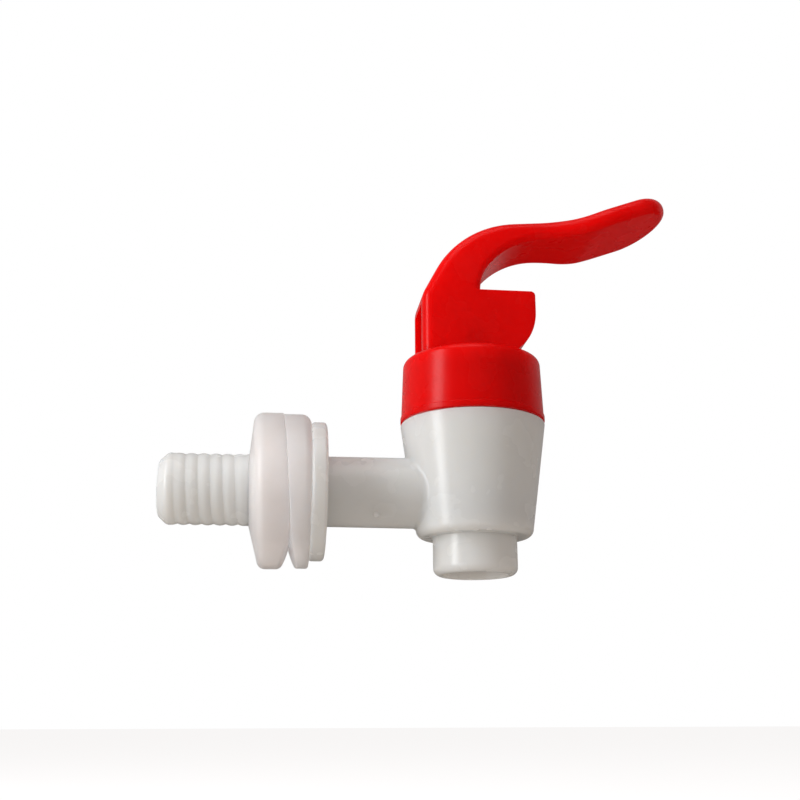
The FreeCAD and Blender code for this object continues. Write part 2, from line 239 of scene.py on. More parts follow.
@dataclass(frozen=True)
class Plastic:
    """A moulded plastic or silicone that clouds, ripples and scatters light a little.

    Attributes:
        name: The material's name.
        colour: The colour of most of the surface.
        cloud: The colour that it clouds towards.
        roughness: The gloss where the surface is cleanest.
        haze: How much duller the handled places are.
        specular: How strongly it mirrors.
        scatter: How much of the light goes through the surface and comes out elsewhere.
        scatter_reach: How far that light goes, in millimetres.
        scatter_tint: How far each colour goes, as shares of the reach.
        clear: How much of the light goes straight through.
        lamplight_through: How much of a lamp's light each of its surfaces lets into the shadow.
        cloud_size: The size of the clouds, in millimetres.
        ripple: The height of the flow ripple, in millimetres.
        grain: The height of the fine grain, in millimetres.
        grain_size: The width of the fine grain, in millimetres.
    """

    name: str
    colour: Colour
    cloud: Colour
    roughness: float
    haze: float = 0.1
    specular: float = 0.5
    scatter: float = 0.0
    scatter_reach: float = 1.5
    scatter_tint: Colour = (1.0, 1.0, 1.0)
    clear: float = 0.0
    lamplight_through: float = 0.0
    cloud_size: float = 9.0
    ripple: float = 0.03
    grain: float = 0.0006
    grain_size: float = 0.25

    def make(self) -> bpy.types.Material:
        """Make the finish on Object coordinates.

        Returns:
            The node material.
        """
        material, graph = new_material(self.name)
        place = graph.add("ShaderNodeTexCoord").outputs["Object"]
        clouds = graph.noise(place, self.cloud_size, CLOUD_DETAIL)
        ripple = graph.noise(place, self.cloud_size / RIPPLES_PER_CLOUD)
        grain = graph.noise(place, self.grain_size)
        clouded = graph.fade(clouds, *CLOUD_EDGES)
        relief = graph.math("MULTIPLY", ripple, self.ripple * MM)
        relief = graph.math("MULTIPLY_ADD", grain, self.grain * MM, relief)
        hazy = graph.fade(ripple, *HAZE_EDGES)
        shadow = graph.add("ShaderNodeLightPath").outputs["Is Shadow Ray"]
        shader = graph.add(
            "ShaderNodeBsdfPrincipled",
            {
                "Base Color": graph.mix(clouded, (*self.colour, 1.0), (*self.cloud, 1.0)),
                "Roughness": graph.math("MULTIPLY_ADD", hazy, self.haze, self.roughness),
                "Normal": graph.bump(relief, 1.0),
                "Specular IOR Level": self.specular,
                "Subsurface Weight": self.scatter,
                "Subsurface Scale": self.scatter_reach * MM,
                "Subsurface Radius": self.scatter_tint,
                "Transmission Weight": self.clear,
                "Alpha": graph.math("MULTIPLY_ADD", shadow, -self.lamplight_through, 1.0),
            },
        )
        graph.add("ShaderNodeOutputMaterial", {"Surface": shader.outputs["BSDF"]})
        return material


@dataclass(frozen=True)
class DrawnWire:
    """Drawn steel wire, with fine lines along it.

    Attributes:
        name: The material's name.
        colour: The steel's colour.
        roughness: The gloss where the wire is smoothest.
        line_width: The width of the lines, in millimetres.
        line_depth: The depth of the lines, in millimetres.
        line_dulling: How much duller the lines are.
        line_strength: How strongly the lines show.
    """

    name: str
    colour: Colour
    roughness: float
    line_width: float = 0.12
    line_depth: float = 0.01
    line_dulling: float = 0.2
    line_strength: float = 0.3

    def make(self) -> bpy.types.Material:
        """Make the finish on Object coordinates.

        Returns:
            The node material.
        """
        material, graph = new_material(self.name)
        place = graph.add("ShaderNodeTexCoord").outputs["Object"]
        lines = graph.noise(place, self.line_width)
        shader = graph.add(
            "ShaderNodeBsdfPrincipled",
            {
                "Base Color": (*self.colour, 1.0),
                "Metallic": 1.0,
                "Roughness": graph.math("MULTIPLY_ADD", lines, self.line_dulling, self.roughness),
                "Normal": graph.bump(lines, self.line_depth * MM, self.line_strength),
            },
        )
        graph.add("ShaderNodeOutputMaterial", {"Surface": shader.outputs["BSDF"]})
        return material


WHITE_PLASTIC = Plastic(
    name="white_moulded_plastic",
    colour=(0.76, 0.77, 0.762),
    cloud=(0.742, 0.75, 0.741),
    roughness=0.24,
    haze=0.06,
    specular=0.45,
    scatter=0.85,
    scatter_reach=4.5,
    scatter_tint=(1.0, 0.92, 0.84),
    lamplight_through=0.35,
    cloud_size=16.0,
    ripple=0.012,
)
RED_PLASTIC = Plastic(
    name="red_moulded_plastic",
    colour=(0.86, 0.0012, 0.0010),
    cloud=(0.84, 0.0012, 0.0010),
    roughness=0.25,
    haze=0.08,
    specular=0.15,
    scatter=0.7,
    scatter_reach=8.0,
    scatter_tint=(1.0, 0.04, 0.03),
    lamplight_through=0.5,
    cloud_size=16.0,
    ripple=0.005,
)
STEM_PLASTIC = Plastic(
    name="stem_moulded_plastic",
    colour=(0.78, 0.77, 0.72),
    cloud=(0.72, 0.71, 0.66),
    roughness=0.42,
    scatter=0.2,
    scatter_reach=0.8,
)
SILICONE = Plastic(
    name="clear_silicone",
    colour=(0.845, 0.81, 0.805),
    cloud=(0.825, 0.785, 0.775),
    roughness=0.28,
    specular=0.35,
    scatter=1.0,
    scatter_reach=7.0,
    scatter_tint=(1.0, 0.92, 0.88),
    clear=0.25,
    lamplight_through=0.85,
    cloud_size=7.0,
    ripple=0.05,
)
SPRING_STEEL = DrawnWire(name="spring_steel_wire", colour=(0.5, 0.51, 0.52), roughness=0.25)


# Meshes


# Places that are nearer than this are one place, in millimetres
SAME_POINT = 1e-6
SEAM_WELD = 1e-5
NODE_WELD = 1e-4
CREST_NEAR = 1e-3

# Steps once round an axis, and along a rounded corner
COARSE_TURN = 96
TURN = 144
FINE_TURN = 180
ARC_STEPS = 8
FINE_ARC_STEPS = 12

# Angles in degrees: of a flat face that was split, and of edges that stay sharp
FLAT_ANGLE = 0.2
SHARP_ANGLE = 32.0
WIRE_SHARP_ANGLE = 60.0

BEVEL_STEPS = 3
FACE_WEIGHT = 60


@dataclass(frozen=True)
class Corner:
    """A corner of a turned outline, in millimetres.

    Attributes:
        radius: Its distance from the axis.
        height: Its height along the axis.
        edge: The radius that the corner is rounded to.
    """

    radius: float
    height: float
    edge: float = 0.0


def rounded(corners: Sequence[Corner], steps: int = ARC_STEPS) -> list[Point]:
    """Return a closed outline with its corners rounded.

    Args:
        corners: The corners, in order round the outline.
        steps: The number of flats on each rounded corner.

    Returns:
        The outline's (radius, height) points.
    """
    points: list[Point] = []
    for i, corner in enumerate(corners):
        here = Vector((corner.radius, corner.height))
        if corner.edge == 0:
            points.append((here.x, here.y))
            continue
        before, after = corners[i - 1], corners[(i + 1) % len(corners)]
        back = (Vector((before.radius, before.height)) - here).normalized()
        ahead = (Vector((after.radius, after.height)) - here).normalized()
        half_angle = back.angle(ahead) / 2
        inwards = (back + ahead).normalized()
        along = (ahead - back).normalized()
        centre = here + inwards * (corner.edge / math.sin(half_angle))
        for step in range(steps + 1):
            angle = (math.pi / 2 - half_angle) * (2 * step / steps - 1)
            point = centre + (along * math.sin(angle) - inwards * math.cos(angle)) * corner.edge
            points.append((point.x, point.y))
    return points


def finely_split(points: Sequence[Point], start: Point, end: Point, step: float) -> list[Point]:
    """Return the outline with one of its straight sides split into short ones.

    Args:
        points: The outline.
        start: The side's first point.
        end: The side's last point.
        step: The length of a short side.

    Returns:
        The outline with the points that are added.
    """
    split: list[Point] = []
    for i, point in enumerate(points):
        split.append(point)
        after = points[(i + 1) % len(points)]
        if math.dist(point, start) > SAME_POINT or math.dist(after, end) > SAME_POINT:
            continue
        run, rise = end[0] - start[0], end[1] - start[1]
        count = round(math.dist(start, end) / step)
        for k in range(1, count):
            share = k / count
            split.append((start[0] + run * share, start[1] + rise * share))
    return split


def mesh_object(name: str, shape: bmesh.types.BMesh) -> bpy.types.Object:
    """Make a smooth-shaded object of a bmesh, with its hard edges kept.

    Args:
        name: The object's name.
        shape: The bmesh in millimetres, which is used up.

    Returns:
        The object, in the scene.
    """
    bmesh.ops.scale(shape, vec=(MM, MM, MM), verts=shape.verts)
    bmesh.ops.recalc_face_normals(shape, faces=shape.faces)
    mesh = bpy.data.meshes.new(name)
    shape.to_mesh(mesh)
    shape.free()
    piece = bpy.data.objects.new(name, mesh)
    bpy.context.scene.collection.objects.link(piece)
    shade_smooth(piece)
    return piece


def shade_smooth(piece: bpy.types.Object, hard_angle: float = SHARP_ANGLE) -> None:
    """Shade a piece smooth, with the edges over the hard angle kept sharp."""
    piece.data.shade_smooth()
    piece.data.set_sharp_from_angle(angle=math.radians(hard_angle))


def turned_freely(
    name: str, outline_at: Callable[[float], Sequence[Point]], axis: Axis, segments: int = TURN
) -> bpy.types.Object:
    """Turn a closed outline, which may change on its way, once round an axis.

    Args:
        name: The piece's name.
        outline_at: Gives the outline's (radius, height) points at an angle, in millimetres.
        axis: The axis that it is turned about.
        segments: The number of steps round the axis.

    Returns:
        The closed piece.
    """
    shape = bmesh.new()
    rings = []
    for i in range(segments):
        angle = 2 * math.pi * i / segments
        c, s = math.cos(angle), math.sin(angle)
        if axis is Axis.TAP:
            points = [(TAP_AXIS_X + r * c, r * s, h) for r, h in outline_at(angle)]
        else:
            points = [(h, r * c, r * s) for r, h in outline_at(angle)]
        rings.append([shape.verts.new(point) for point in points])
    on_axis = [r == 0 for r, _ in outline_at(0.0)]
    for i, ring in enumerate(rings):
        after = rings[(i + 1) % segments]
        for k in range(len(ring)):
            m = (k + 1) % len(ring)
            if not (on_axis[k] and on_axis[m]):
                shape.faces.new((ring[k], ring[m], after[m], after[k]))
    bmesh.ops.remove_doubles(shape, verts=shape.verts, dist=SEAM_WELD)
    return mesh_object(name, shape)


def turned(
    name: str, points: Sequence[Point], axis: Axis, segments: int = TURN
) -> bpy.types.Object:
    """Turn a closed outline of (radius, height) points in millimetres once round an axis."""
    return turned_freely(name, lambda angle: points, axis, segments)


def settle(piece: bpy.types.Object) -> None:
    """Turn a piece's modifiers into plain mesh.

    Args:
        piece: The piece.
    """
    graph = bpy.context.evaluated_depsgraph_get()
    graph.update()
    mesh = bpy.data.meshes.new_from_object(piece.evaluated_get(graph))
    mesh.name = piece.name
    piece.modifiers.clear()
    piece.data = mesh


def combine(piece: bpy.types.Object, tool: bpy.types.Object, operation: str) -> None:
    """Join a tool piece to a piece, or cut it out of it, and use the tool up.

    Args:
        piece: The piece that is changed.
        tool: The piece that is joined or cut out.
        operation: UNION or DIFFERENCE.
    """
    boolean = piece.modifiers.new(operation.lower(), "BOOLEAN")
    boolean.operation = operation
    boolean.object = tool
    boolean.solver = "EXACT"
    settle(piece)
    bpy.data.objects.remove(tool)
    shade_smooth(piece)


def copy_of_node(node: str, name: str) -> bpy.types.Object:
    """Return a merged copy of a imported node, with its flat faces whole again.

    Args:
        node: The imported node.
        name: The copy's name.

    Returns:
        The copy, in its place.
    """
    shape = bmesh.new()
    shape.from_mesh(frame["nodes"][node].data)
    bmesh.ops.scale(shape, vec=(1 / MM, 1 / MM, 1 / MM), verts=shape.verts)
    bmesh.ops.remove_doubles(shape, verts=shape.verts, dist=NODE_WELD)
    bmesh.ops.dissolve_degenerate(shape, edges=shape.edges, dist=NODE_WELD)
    bmesh.ops.dissolve_limit(
        shape,
        angle_limit=math.radians(FLAT_ANGLE),
        verts=shape.verts,
        edges=shape.edges,
        delimit={"NORMAL"},
    )
    return mesh_object(name, shape)


def soften_edges(piece: bpy.types.Object, width: float, hard_angle: float = 40.0) -> None:
    """Round a piece's hard edges and even out its shading.

    Args:
        piece: The piece.
        width: The width of the rounding, in millimetres.
        hard_angle: The angle from which an edge is rounded, in degrees.
    """
    bevel = piece.modifiers.new("soft_edges", "BEVEL")
    bevel.width = width * MM
    bevel.segments = BEVEL_STEPS
    bevel.limit_method = "ANGLE"
    bevel.angle_limit = math.radians(hard_angle)
    bevel.use_clamp_overlap = True
    even_shading(piece)


def even_shading(piece: bpy.types.Object) -> None:
    """Let a piece's large faces set its shading, so that flats look flat.

    Args:
        piece: The piece, whose modifiers all become plain mesh.
    """
    weighted = piece.modifiers.new("even_shading", "WEIGHTED_NORMAL")
    weighted.keep_sharp = True
    weighted.weight = FACE_WEIGHT
    settle(piece)


def coat(piece: bpy.types.Object, finish: bpy.types.Material) -> None:
    """Make a finish the only material of a piece.

    Args:
        piece: The piece.
        finish: Its material.
    """
    piece.data.materials.clear()
    piece.data.materials.append(finish)
    LOG.info("%s: %d faces, in %s", piece.name, len(piece.data.polygons), finish.name)


def dress(
    piece: bpy.types.Object, finish: bpy.types.Material, body: Body, stands_for: str
) -> None:
    """Give a finished piece its material, its body and the node that it stands for.

    Args:
        piece: The piece.
        finish: Its material.
        body: The body that it moves with.
        stands_for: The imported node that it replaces.
    """
    coat(piece, finish)
    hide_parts(stands_for)
    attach(piece, body.value)


# Geometry Nodes


# Steps in a turn of the spring, and sides of its wire
COIL_STEPS = 36
WIRE_SIDES = 10


@dataclass
class GeometryTool:
    """A Geometry Nodes tree with named inputs, which ends in plain mesh with a material.

    Attributes:
        name: The tree's name.
        sizes: The tree's number inputs, by name.
        build: Adds the tree's own nodes, and returns the geometry that they make.
    """

    name: str
    sizes: Mapping[str, float]
    build: Callable[[NodeGraph, bpy.types.Node], bpy.types.NodeSocket]

    def make_tree(self) -> bpy.types.GeometryNodeTree:
        """Make the tree, from its inputs to Realize Instances and Set Material.

        Returns:
            The tree.
        """
        tree = bpy.data.node_groups.new(self.name, "GeometryNodeTree")
        tree.interface.new_socket("Geometry", in_out="INPUT", socket_type="NodeSocketGeometry")
        tree.interface.new_socket("Geometry", in_out="OUTPUT", socket_type="NodeSocketGeometry")
        for size in self.sizes:
            tree.interface.new_socket(size, in_out="INPUT", socket_type="NodeSocketFloat")
        tree.interface.new_socket("Finish", in_out="INPUT", socket_type="NodeSocketMaterial")
        graph = NodeGraph(tree)
        entry = graph.add("NodeGroupInput")
        made = self.build(graph, entry)
        plain = graph.add("GeometryNodeRealizeInstances", {"Geometry": made})
        inputs = {"Geometry": plain.outputs["Geometry"], "Material": entry.outputs["Finish"]}
        finished = graph.add("GeometryNodeSetMaterial", inputs)
        graph.add("NodeGroupOutput", {"Geometry": finished.outputs["Geometry"]})
        return tree

    def run(self, piece: bpy.types.Object, finish: bpy.types.Material) -> None:
        """Run the tree on a piece and keep the result as plain mesh.

        Args:
            piece: The piece that the tree changes or fills.
            finish: The material that the tree sets.
        """
        modifier = piece.modifiers.new(self.name, "NODES")
        modifier.node_group = self.make_tree()
        values = {**{size: value * MM for size, value in self.sizes.items()}, "Finish": finish}
        for item in modifier.node_group.interface.items_tree:
            if item.in_out == "INPUT" and item.name in values:
                modifier[item.identifier] = values[item.name]
        settle(piece)


def cut_thread(graph: NodeGraph, entry: bpy.types.Node) -> bpy.types.NodeSocket:
    """Sink a right-hand helical thread into the outer skin of a tube along X.

    Args:
        graph: The tree's graph.
        entry: The tree's input node.

    Returns:
        The threaded geometry.
    """
    size = entry.outputs
    place = graph.add("GeometryNodeInputPosition").outputs["Position"]
    x, y, z = graph.add("ShaderNodeSeparateXYZ", {"Vector": place}).outputs
    squares = graph.math("ADD", graph.math("MULTIPLY", y, y), graph.math("MULTIPLY", z, z))
    radius = graph.math("SQRT", squares)
    turns = graph.math("DIVIDE", graph.math("SUBTRACT", x, size["Groove At"]), size["Pitch"])
    # The sine is zero twice a turn, so the angle counts by half, and back for a right-hand thread
    half_turn = graph.math("MULTIPLY", graph.math("ARCTAN2", z, y), -0.5)
    phase = graph.math("MULTIPLY_ADD", turns, math.pi, half_turn)
    groove = graph.math("SUBTRACT", 1.0, graph.math("ABSOLUTE", graph.math("SINE", phase)))
    full_from = graph.math("ADD", size["Start"], size["Fade"])
    full_to = graph.math("SUBTRACT", size["Finish Line"], size["Fade"])
    run_in = graph.fade(x, size["Start"], full_from)
    run_out = graph.fade(x, size["Finish Line"], full_to)
    share = graph.math("MULTIPLY", run_in, run_out)
    depth = graph.math("MULTIPLY", graph.math("MULTIPLY", groove, size["Depth"]), share)
    skin = graph.math("SUBTRACT", size["Crest Radius"], size["Skin"])
    outer = graph.math("GREATER_THAN", radius, skin)
    scale = graph.math("DIVIDE", graph.math("SUBTRACT", radius, depth), radius)
    new_y = graph.math("MULTIPLY", y, scale)
    new_z = graph.math("MULTIPLY", z, scale)
    moved = graph.add("ShaderNodeCombineXYZ", {"X": x, "Y": new_y, "Z": new_z}).outputs["Vector"]
    inputs = {"Geometry": entry.outputs["Geometry"], "Selection": outer, "Position": moved}
    return graph.add("GeometryNodeSetPosition", inputs).outputs["Geometry"]


def wind_spring(graph: NodeGraph, entry: bpy.types.Node) -> bpy.types.NodeSocket:
    """Wind a round wire into an upright coil.

    Args:
        graph: The tree's graph.
        entry: The tree's input node.

    Returns:
        The coil.
    """
    size = entry.outputs
    turns = graph.math("DIVIDE", size["Height"], size["Pitch"])
    spiral = graph.add(
        "GeometryNodeCurveSpiral",
        {
            "Resolution": COIL_STEPS,
            "Rotations": turns,
            "Start Radius": size["Coil Radius"],
            "End Radius": size["Coil Radius"],
            "Height": size["Height"],
        },
    )
    inputs = {"Resolution": WIRE_SIDES, "Radius": size["Wire Radius"]}
    section = graph.add("GeometryNodeCurvePrimitiveCircle", inputs).outputs["Curve"]
    inputs = {"Curve": spiral.outputs["Curve"], "Profile Curve": section, "Fill Caps": True}
    wire = graph.add("GeometryNodeCurveToMesh", inputs).outputs["Mesh"]
    foot = graph.add("ShaderNodeCombineXYZ", {"X": size["Axis X"], "Z": size["Foot Z"]})
    inputs = {"Geometry": wire, "Translation": foot.outputs["Vector"]}
    return graph.add("GeometryNodeTransform", inputs).outputs["Geometry"]


# Sub-assemblies


@dataclass
class TapBody:
    """The white moulding: threaded tail, flange, pipe, valve cup with its seat, and nozzle."""

    tip_radius: float = 4.6
    tip_length: float = 1.5
    shank_radius: float = 5.6
    thread_pitch: float = 2.0
    groove_x: float = 0.67
    thread_depth: float = 0.24
    thread_start: float = 1.8
    thread_end_x: float = -10.05
    thread_fade: float = 1.7
    thread_step: float = 0.125
    thread_skin: float = 0.01
    flange_radius: float = 11.7
    flange_thickness: float = 2.6
    flange_edge: float = 0.6
    pipe_radius: float = 6.0
    pipe_core_x: float = 18.0
    flare_radii: Point = (0.6, 1.9)
    flare_steps: int = 10
    gate_stub_x: float = 11.0
    gate_stub_angle_deg: float = 48.6
    gate_stub_radius: float = 0.6
    gate_stub_height: float = 0.38
    cup_top_z: float = 12.3
    cup_top_radius: float = 12.6
    cup_foot_z: float = -7.5
    cup_foot_radius: float = 9.85
    cup_foot_edge: float = 1.3
    cup_rim_edge: float = 0.35
    chamber_radius: float = 9.0
    chamber_floor_z: float = -5.1
    neck_radius: float = 10.7
    seat_inner_radius: float = 4.8
    seat_outer_radius: float = 6.2
    seat_z: float = -3.9
    nozzle_radius: float = 7.15
    nozzle_edge: float = 1.3
    lip_edge: float = 0.35

    def build(self, finish: bpy.types.Material) -> None:
        """Build the whole moulding in one closed mesh and dress it.

        Args:
            finish: The white plastic.
        """
        body = self.make_cup()
        combine(body, self.make_pipe(), "UNION")
        combine(body, self.make_tail(finish), "UNION")
        combine(body, self.make_inlet(), "DIFFERENCE")
        even_shading(body)
        dress(body, finish, Body.HOUSING, "tap_body")

    def make_tail(self, finish: bpy.types.Material) -> bpy.types.Object:
        """Return the tail, with its thread run in from the tip and out before the washers."""
        tip_x = BODY_LOW.x
        first = tip_x + self.tip_length
        last = self.thread_end_x
        points = rounded([
            Corner(0.0, tip_x),
            Corner(self.tip_radius, tip_x, 0.8),
            Corner(THREAD_RADIUS, first, 1.1),
            Corner(THREAD_RADIUS, last),
            Corner(self.shank_radius, last),
            Corner(self.shank_radius, 1.0),
            Corner(0.0, 1.0),
        ])
        crest = [p for p in points if abs(p[0] - THREAD_RADIUS) < CREST_NEAR]
        points = finely_split(points, crest[0], crest[-1], self.thread_step)
        tail = turned("tail", points, Axis.TAIL, FINE_TURN)
        thread = GeometryTool(
            "tail_thread",
            {
                "Pitch": self.thread_pitch,
                "Groove At": self.groove_x,
                "Depth": self.thread_depth,
                "Start": tip_x + self.thread_start,
                "Finish Line": last,
                "Fade": self.thread_fade,
                "Crest Radius": THREAD_RADIUS,
                "Skin": self.thread_skin,
            },
            cut_thread,
        )
        thread.run(tail, finish)
        return tail

    def cup_side_x(self, radius: float, angle: float) -> float:
        """Return where the cup's side is at a radius from the pipe's axis and an angle round it."""
        y, z = radius * math.cos(angle), radius * math.sin(angle)
        share = (z - self.cup_foot_z) / (self.cup_top_z - self.cup_foot_z)
        cup_radius = self.cup_foot_radius + (self.cup_top_radius - self.cup_foot_radius) * share
        return TAP_AXIS_X - math.sqrt(cup_radius ** 2 - y ** 2)

    def pipe_outline(self, angle: float) -> list[Point]:
        """Return the outline of the flange and the pipe, which flares into the cup's side.

        The flare is small above and below, and large at the pipe's sides.

        Args:
            angle: The angle round the pipe.

        Returns:
            The outline's (radius, height) points.
        """
        points = rounded([
            Corner(0.0, 0.0),
            Corner(self.flange_radius, 0.0, self.flange_edge),
            Corner(self.flange_radius, self.flange_thickness, self.flange_edge),
            Corner(self.pipe_radius, self.flange_thickness, 0.3),
        ])
        meets_x = self.cup_side_x(self.pipe_radius, angle)
        rise = self.cup_side_x(self.pipe_radius + 1.0, angle) - meets_x
        full_turn = math.atan2(1.0, rise)
        small, large = self.flare_radii
        flare = small + (large - small) * math.cos(angle) ** 2
        start_x = meets_x - flare * math.tan(full_turn / 2)
        for step in range(self.flare_steps + 1):
            turn = full_turn * step / self.flare_steps
            radius = self.pipe_radius + flare * (1 - math.cos(turn))
            points.append((radius, start_x + flare * math.sin(turn)))
        points.append((0.0, self.pipe_core_x))
        return points

    def make_pipe(self) -> bpy.types.Object:
        """Return the flange and the pipe behind it, with the stub of the mould's gate."""
        pipe = turned_freely("pipe", self.pipe_outline, Axis.TAIL)
        combine(pipe, self.make_gate_stub(), "UNION")
        return pipe

    def make_gate_stub(self) -> bpy.types.Object:
        """Return the low dome that the mould's gate leaves on the pipe."""
        shape = bmesh.new()
        bmesh.ops.create_uvsphere(shape, u_segments=24, v_segments=12, radius=self.gate_stub_radius)
        flatten = Matrix.Diagonal((1.0, self.gate_stub_height / self.gate_stub_radius, 1.0, 1.0))
        shift = Matrix.Translation((self.gate_stub_x, -self.pipe_radius, 0.0))
        tilt = Matrix.Rotation(math.radians(self.gate_stub_angle_deg), 4, "X")
        bmesh.ops.transform(shape, matrix=tilt @ shift @ flatten, verts=shape.verts)
        return mesh_object("gate_stub", shape)

    def make_cup(self) -> bpy.types.Object:
        """Return the valve cup with its neck, chamber, seat and nozzle."""
        foot_z, neck_top_z = BODY_LOW.z, BODY_HIGH.z
        return turned("tap_body_shell", rounded([
            Corner(OUTLET_RADIUS, foot_z, self.lip_edge),
            Corner(self.nozzle_radius, foot_z, self.nozzle_edge),
            Corner(self.nozzle_radius, self.cup_foot_z, 0.25),
            Corner(self.cup_foot_radius, self.cup_foot_z, self.cup_foot_edge),
            Corner(self.cup_top_radius, self.cup_top_z, self.cup_rim_edge),
            Corner(self.neck_radius, self.cup_top_z),
            Corner(self.neck_radius, neck_top_z, 0.4),
            Corner(self.chamber_radius, neck_top_z),
            Corner(self.chamber_radius, self.chamber_floor_z, 0.3),
            Corner(self.seat_outer_radius, self.chamber_floor_z),
            Corner(self.seat_outer_radius, self.seat_z, 0.2),
            Corner(self.seat_inner_radius, self.seat_z, 0.2),
            Corner(self.seat_inner_radius, self.cup_foot_z),
            Corner(OUTLET_RADIUS, self.cup_foot_z),
        ]), Axis.TAP, FINE_TURN)

    def make_inlet(self) -> bpy.types.Object:
        """Return the tool that cuts the bore from the tail's tip into the chamber."""
        low = BODY_LOW.x - 1.0
        end = TAP_AXIS_X - self.chamber_radius + 2.0
        return turned("inlet", rounded([
            Corner(0.0, low),
            Corner(BORE_RADIUS, low),
            Corner(BORE_RADIUS, end),
            Corner(0.0, end),
        ]), Axis.TAIL)


@dataclass
class Collar:
    """The red screw-on collar, with a small lip round its foot."""

    foot_radius: float = 12.45
    lip_proud: float = 0.15
    lip_height: float = 1.1
    top_radius: float = 12.05
    top_edge: float = 1.3
    thread_radius: float = 10.75
    roof_thickness: float = 2.4
    hole_radius: float = 3.05

    def build(self, finish: bpy.types.Material) -> None:
        """Build and dress the collar.

        Args:
            finish: The red plastic.
        """
        foot, top = COLLAR_LOW.z, COLLAR_HIGH.z
        ceiling = top - self.roof_thickness
        collar = turned("collar_shell", rounded([
            Corner(self.thread_radius, foot, 0.3),
            Corner(self.foot_radius + self.lip_proud, foot, 0.25),
            Corner(self.foot_radius + self.lip_proud, foot + self.lip_height - self.lip_proud),
            Corner(self.foot_radius, foot + self.lip_height),
            Corner(self.top_radius, top, self.top_edge),
            Corner(self.hole_radius, top, 0.2),
            Corner(self.hole_radius, ceiling),
            Corner(self.thread_radius, ceiling),
        ]), Axis.TAP, FINE_TURN)
        dress(collar, finish, Body.HOUSING, "collar")


@dataclass
class Lever:
    """The red press lever: channel block, cam heel, swan neck and paddle."""

    edge_width: float = 0.22

    def build(self, finish: bpy.types.Material) -> None:
        """Build and dress the lever.

        Args:
            finish: The red plastic.
        """
        lever = copy_of_node("lever", "lever_shell")
        soften_edges(lever, self.edge_width)
        dress(lever, finish, Body.LEVER, "lever")


@dataclass
class Washers:
    """The two silicone washers on the tail, squeezed together above and parted at their feet.

    The outer one is a lens that leans. It lies on the inner one down to the seam's foot, and a
    notch opens between the two below that. Every size that changes from top to foot is a pair.
    """

    hole_radius: float = 5.8
    gap: float = 0.02
    outer_radius: float = 13.1
    outer_hub_x: Point = (-10.25, -10.1)
    outer_far_x: Point = (-9.5, -8.2)
    outer_far_edge: Point = (1.8, 1.4)
    outer_near_edge: Point = (0.2, 1.2)
    notch_slope: float = 0.324
    seam_foot_z: float = -8.9
    seam_x: float = -3.15
    inner_radius: float = 12.95
    inner_thickness: Point = (4.7, 2.1)
    inner_far_edge: Point = (0.12, 0.4)
    inner_near_edge: Point = (1.7, 0.4)
    segments: int = FINE_TURN

    def build(self, finish: bpy.types.Material) -> None:
        """Build and dress both washers.

        Args:
            finish: The silicone.
        """
        outer = turned_freely("outer_washer_ring", self.outer_outline, Axis.TAIL, self.segments)
        inner = turned_freely("inner_washer_ring", self.inner_outline, Axis.TAIL, self.segments)
        dress(outer, finish, Body.HOUSING, "outer_washer")
        dress(inner, finish, Body.HOUSING, "inner_washer")

    def seam(self, z: float) -> float:
        """Return where the inner washer's far side is at a height, in millimetres."""
        top, foot = self.inner_thickness
        if z > self.seam_foot_z:
            share = (z - self.seam_foot_z) / (self.inner_radius - self.seam_foot_z)
            return self.seam_x - (top + self.seam_x) * share
        share = (self.seam_foot_z - z) / (self.inner_radius + self.seam_foot_z)
        return self.seam_x - (foot + self.seam_x) * share

    def notch(self, z: float) -> float:
        """Return where the outer washer's near side is at a height, in millimetres."""
        if z > self.seam_foot_z:
            return self.seam(z) - self.gap
        return self.seam_x - self.gap + self.notch_slope * (z - self.seam_foot_z)

    def bend_radius(self, angle: float, rim_radius: float) -> float:
        """Return the radius at which a washer's seam side bends into the notch."""
        down = max(-math.sin(angle), 0.1)
        return min(-self.seam_foot_z / down, rim_radius - 1.6)

    @staticmethod
    def between(top_and_foot: Point, angle: float, lowest: float = 1.0) -> float:
        """Return a size at an angle, from its values at the top and at the foot.

        Args:
            top_and_foot: The two values.
            angle: The angle round the tail.
            lowest: The sine of the angle, from 1 down, where the change starts.
        """
        top, foot = top_and_foot
        share = min(max((lowest - math.sin(angle)) / (lowest + 1), 0.0), 1.0)
        return top + (foot - top) * share

    def outer_outline(self, angle: float) -> list[Point]:
        """Return the outer washer's outline at an angle."""
        rim, hole, up = self.outer_radius, self.hole_radius, math.sin(angle)
        bend = self.bend_radius(angle, rim)
        far_edge = self.between(self.outer_far_edge, angle)
        near_edge = self.between(self.outer_near_edge, angle, -0.5)
        return rounded([
            Corner(hole, self.between(self.outer_hub_x, angle), 0.1),
            Corner(rim, self.between(self.outer_far_x, angle), far_edge),
            Corner(rim, self.notch(rim * up), near_edge),
            Corner(bend, self.notch(bend * up)),
            Corner(hole, self.notch(hole * up)),
        ], FINE_ARC_STEPS)

    def inner_outline(self, angle: float) -> list[Point]:
        """Return the inner washer's outline at an angle."""
        rim, hole, up = self.inner_radius, self.hole_radius, math.sin(angle)
        bend = self.bend_radius(angle, rim)
        return rounded([
            Corner(hole, self.seam(hole * up)),
            Corner(bend, self.seam(bend * up)),
            Corner(rim, self.seam(rim * up), self.between(self.inner_far_edge, angle, -0.5)),
            Corner(rim, 0.0, self.between(self.inner_near_edge, angle)),
            Corner(hole, 0.0),
        ], FINE_ARC_STEPS)


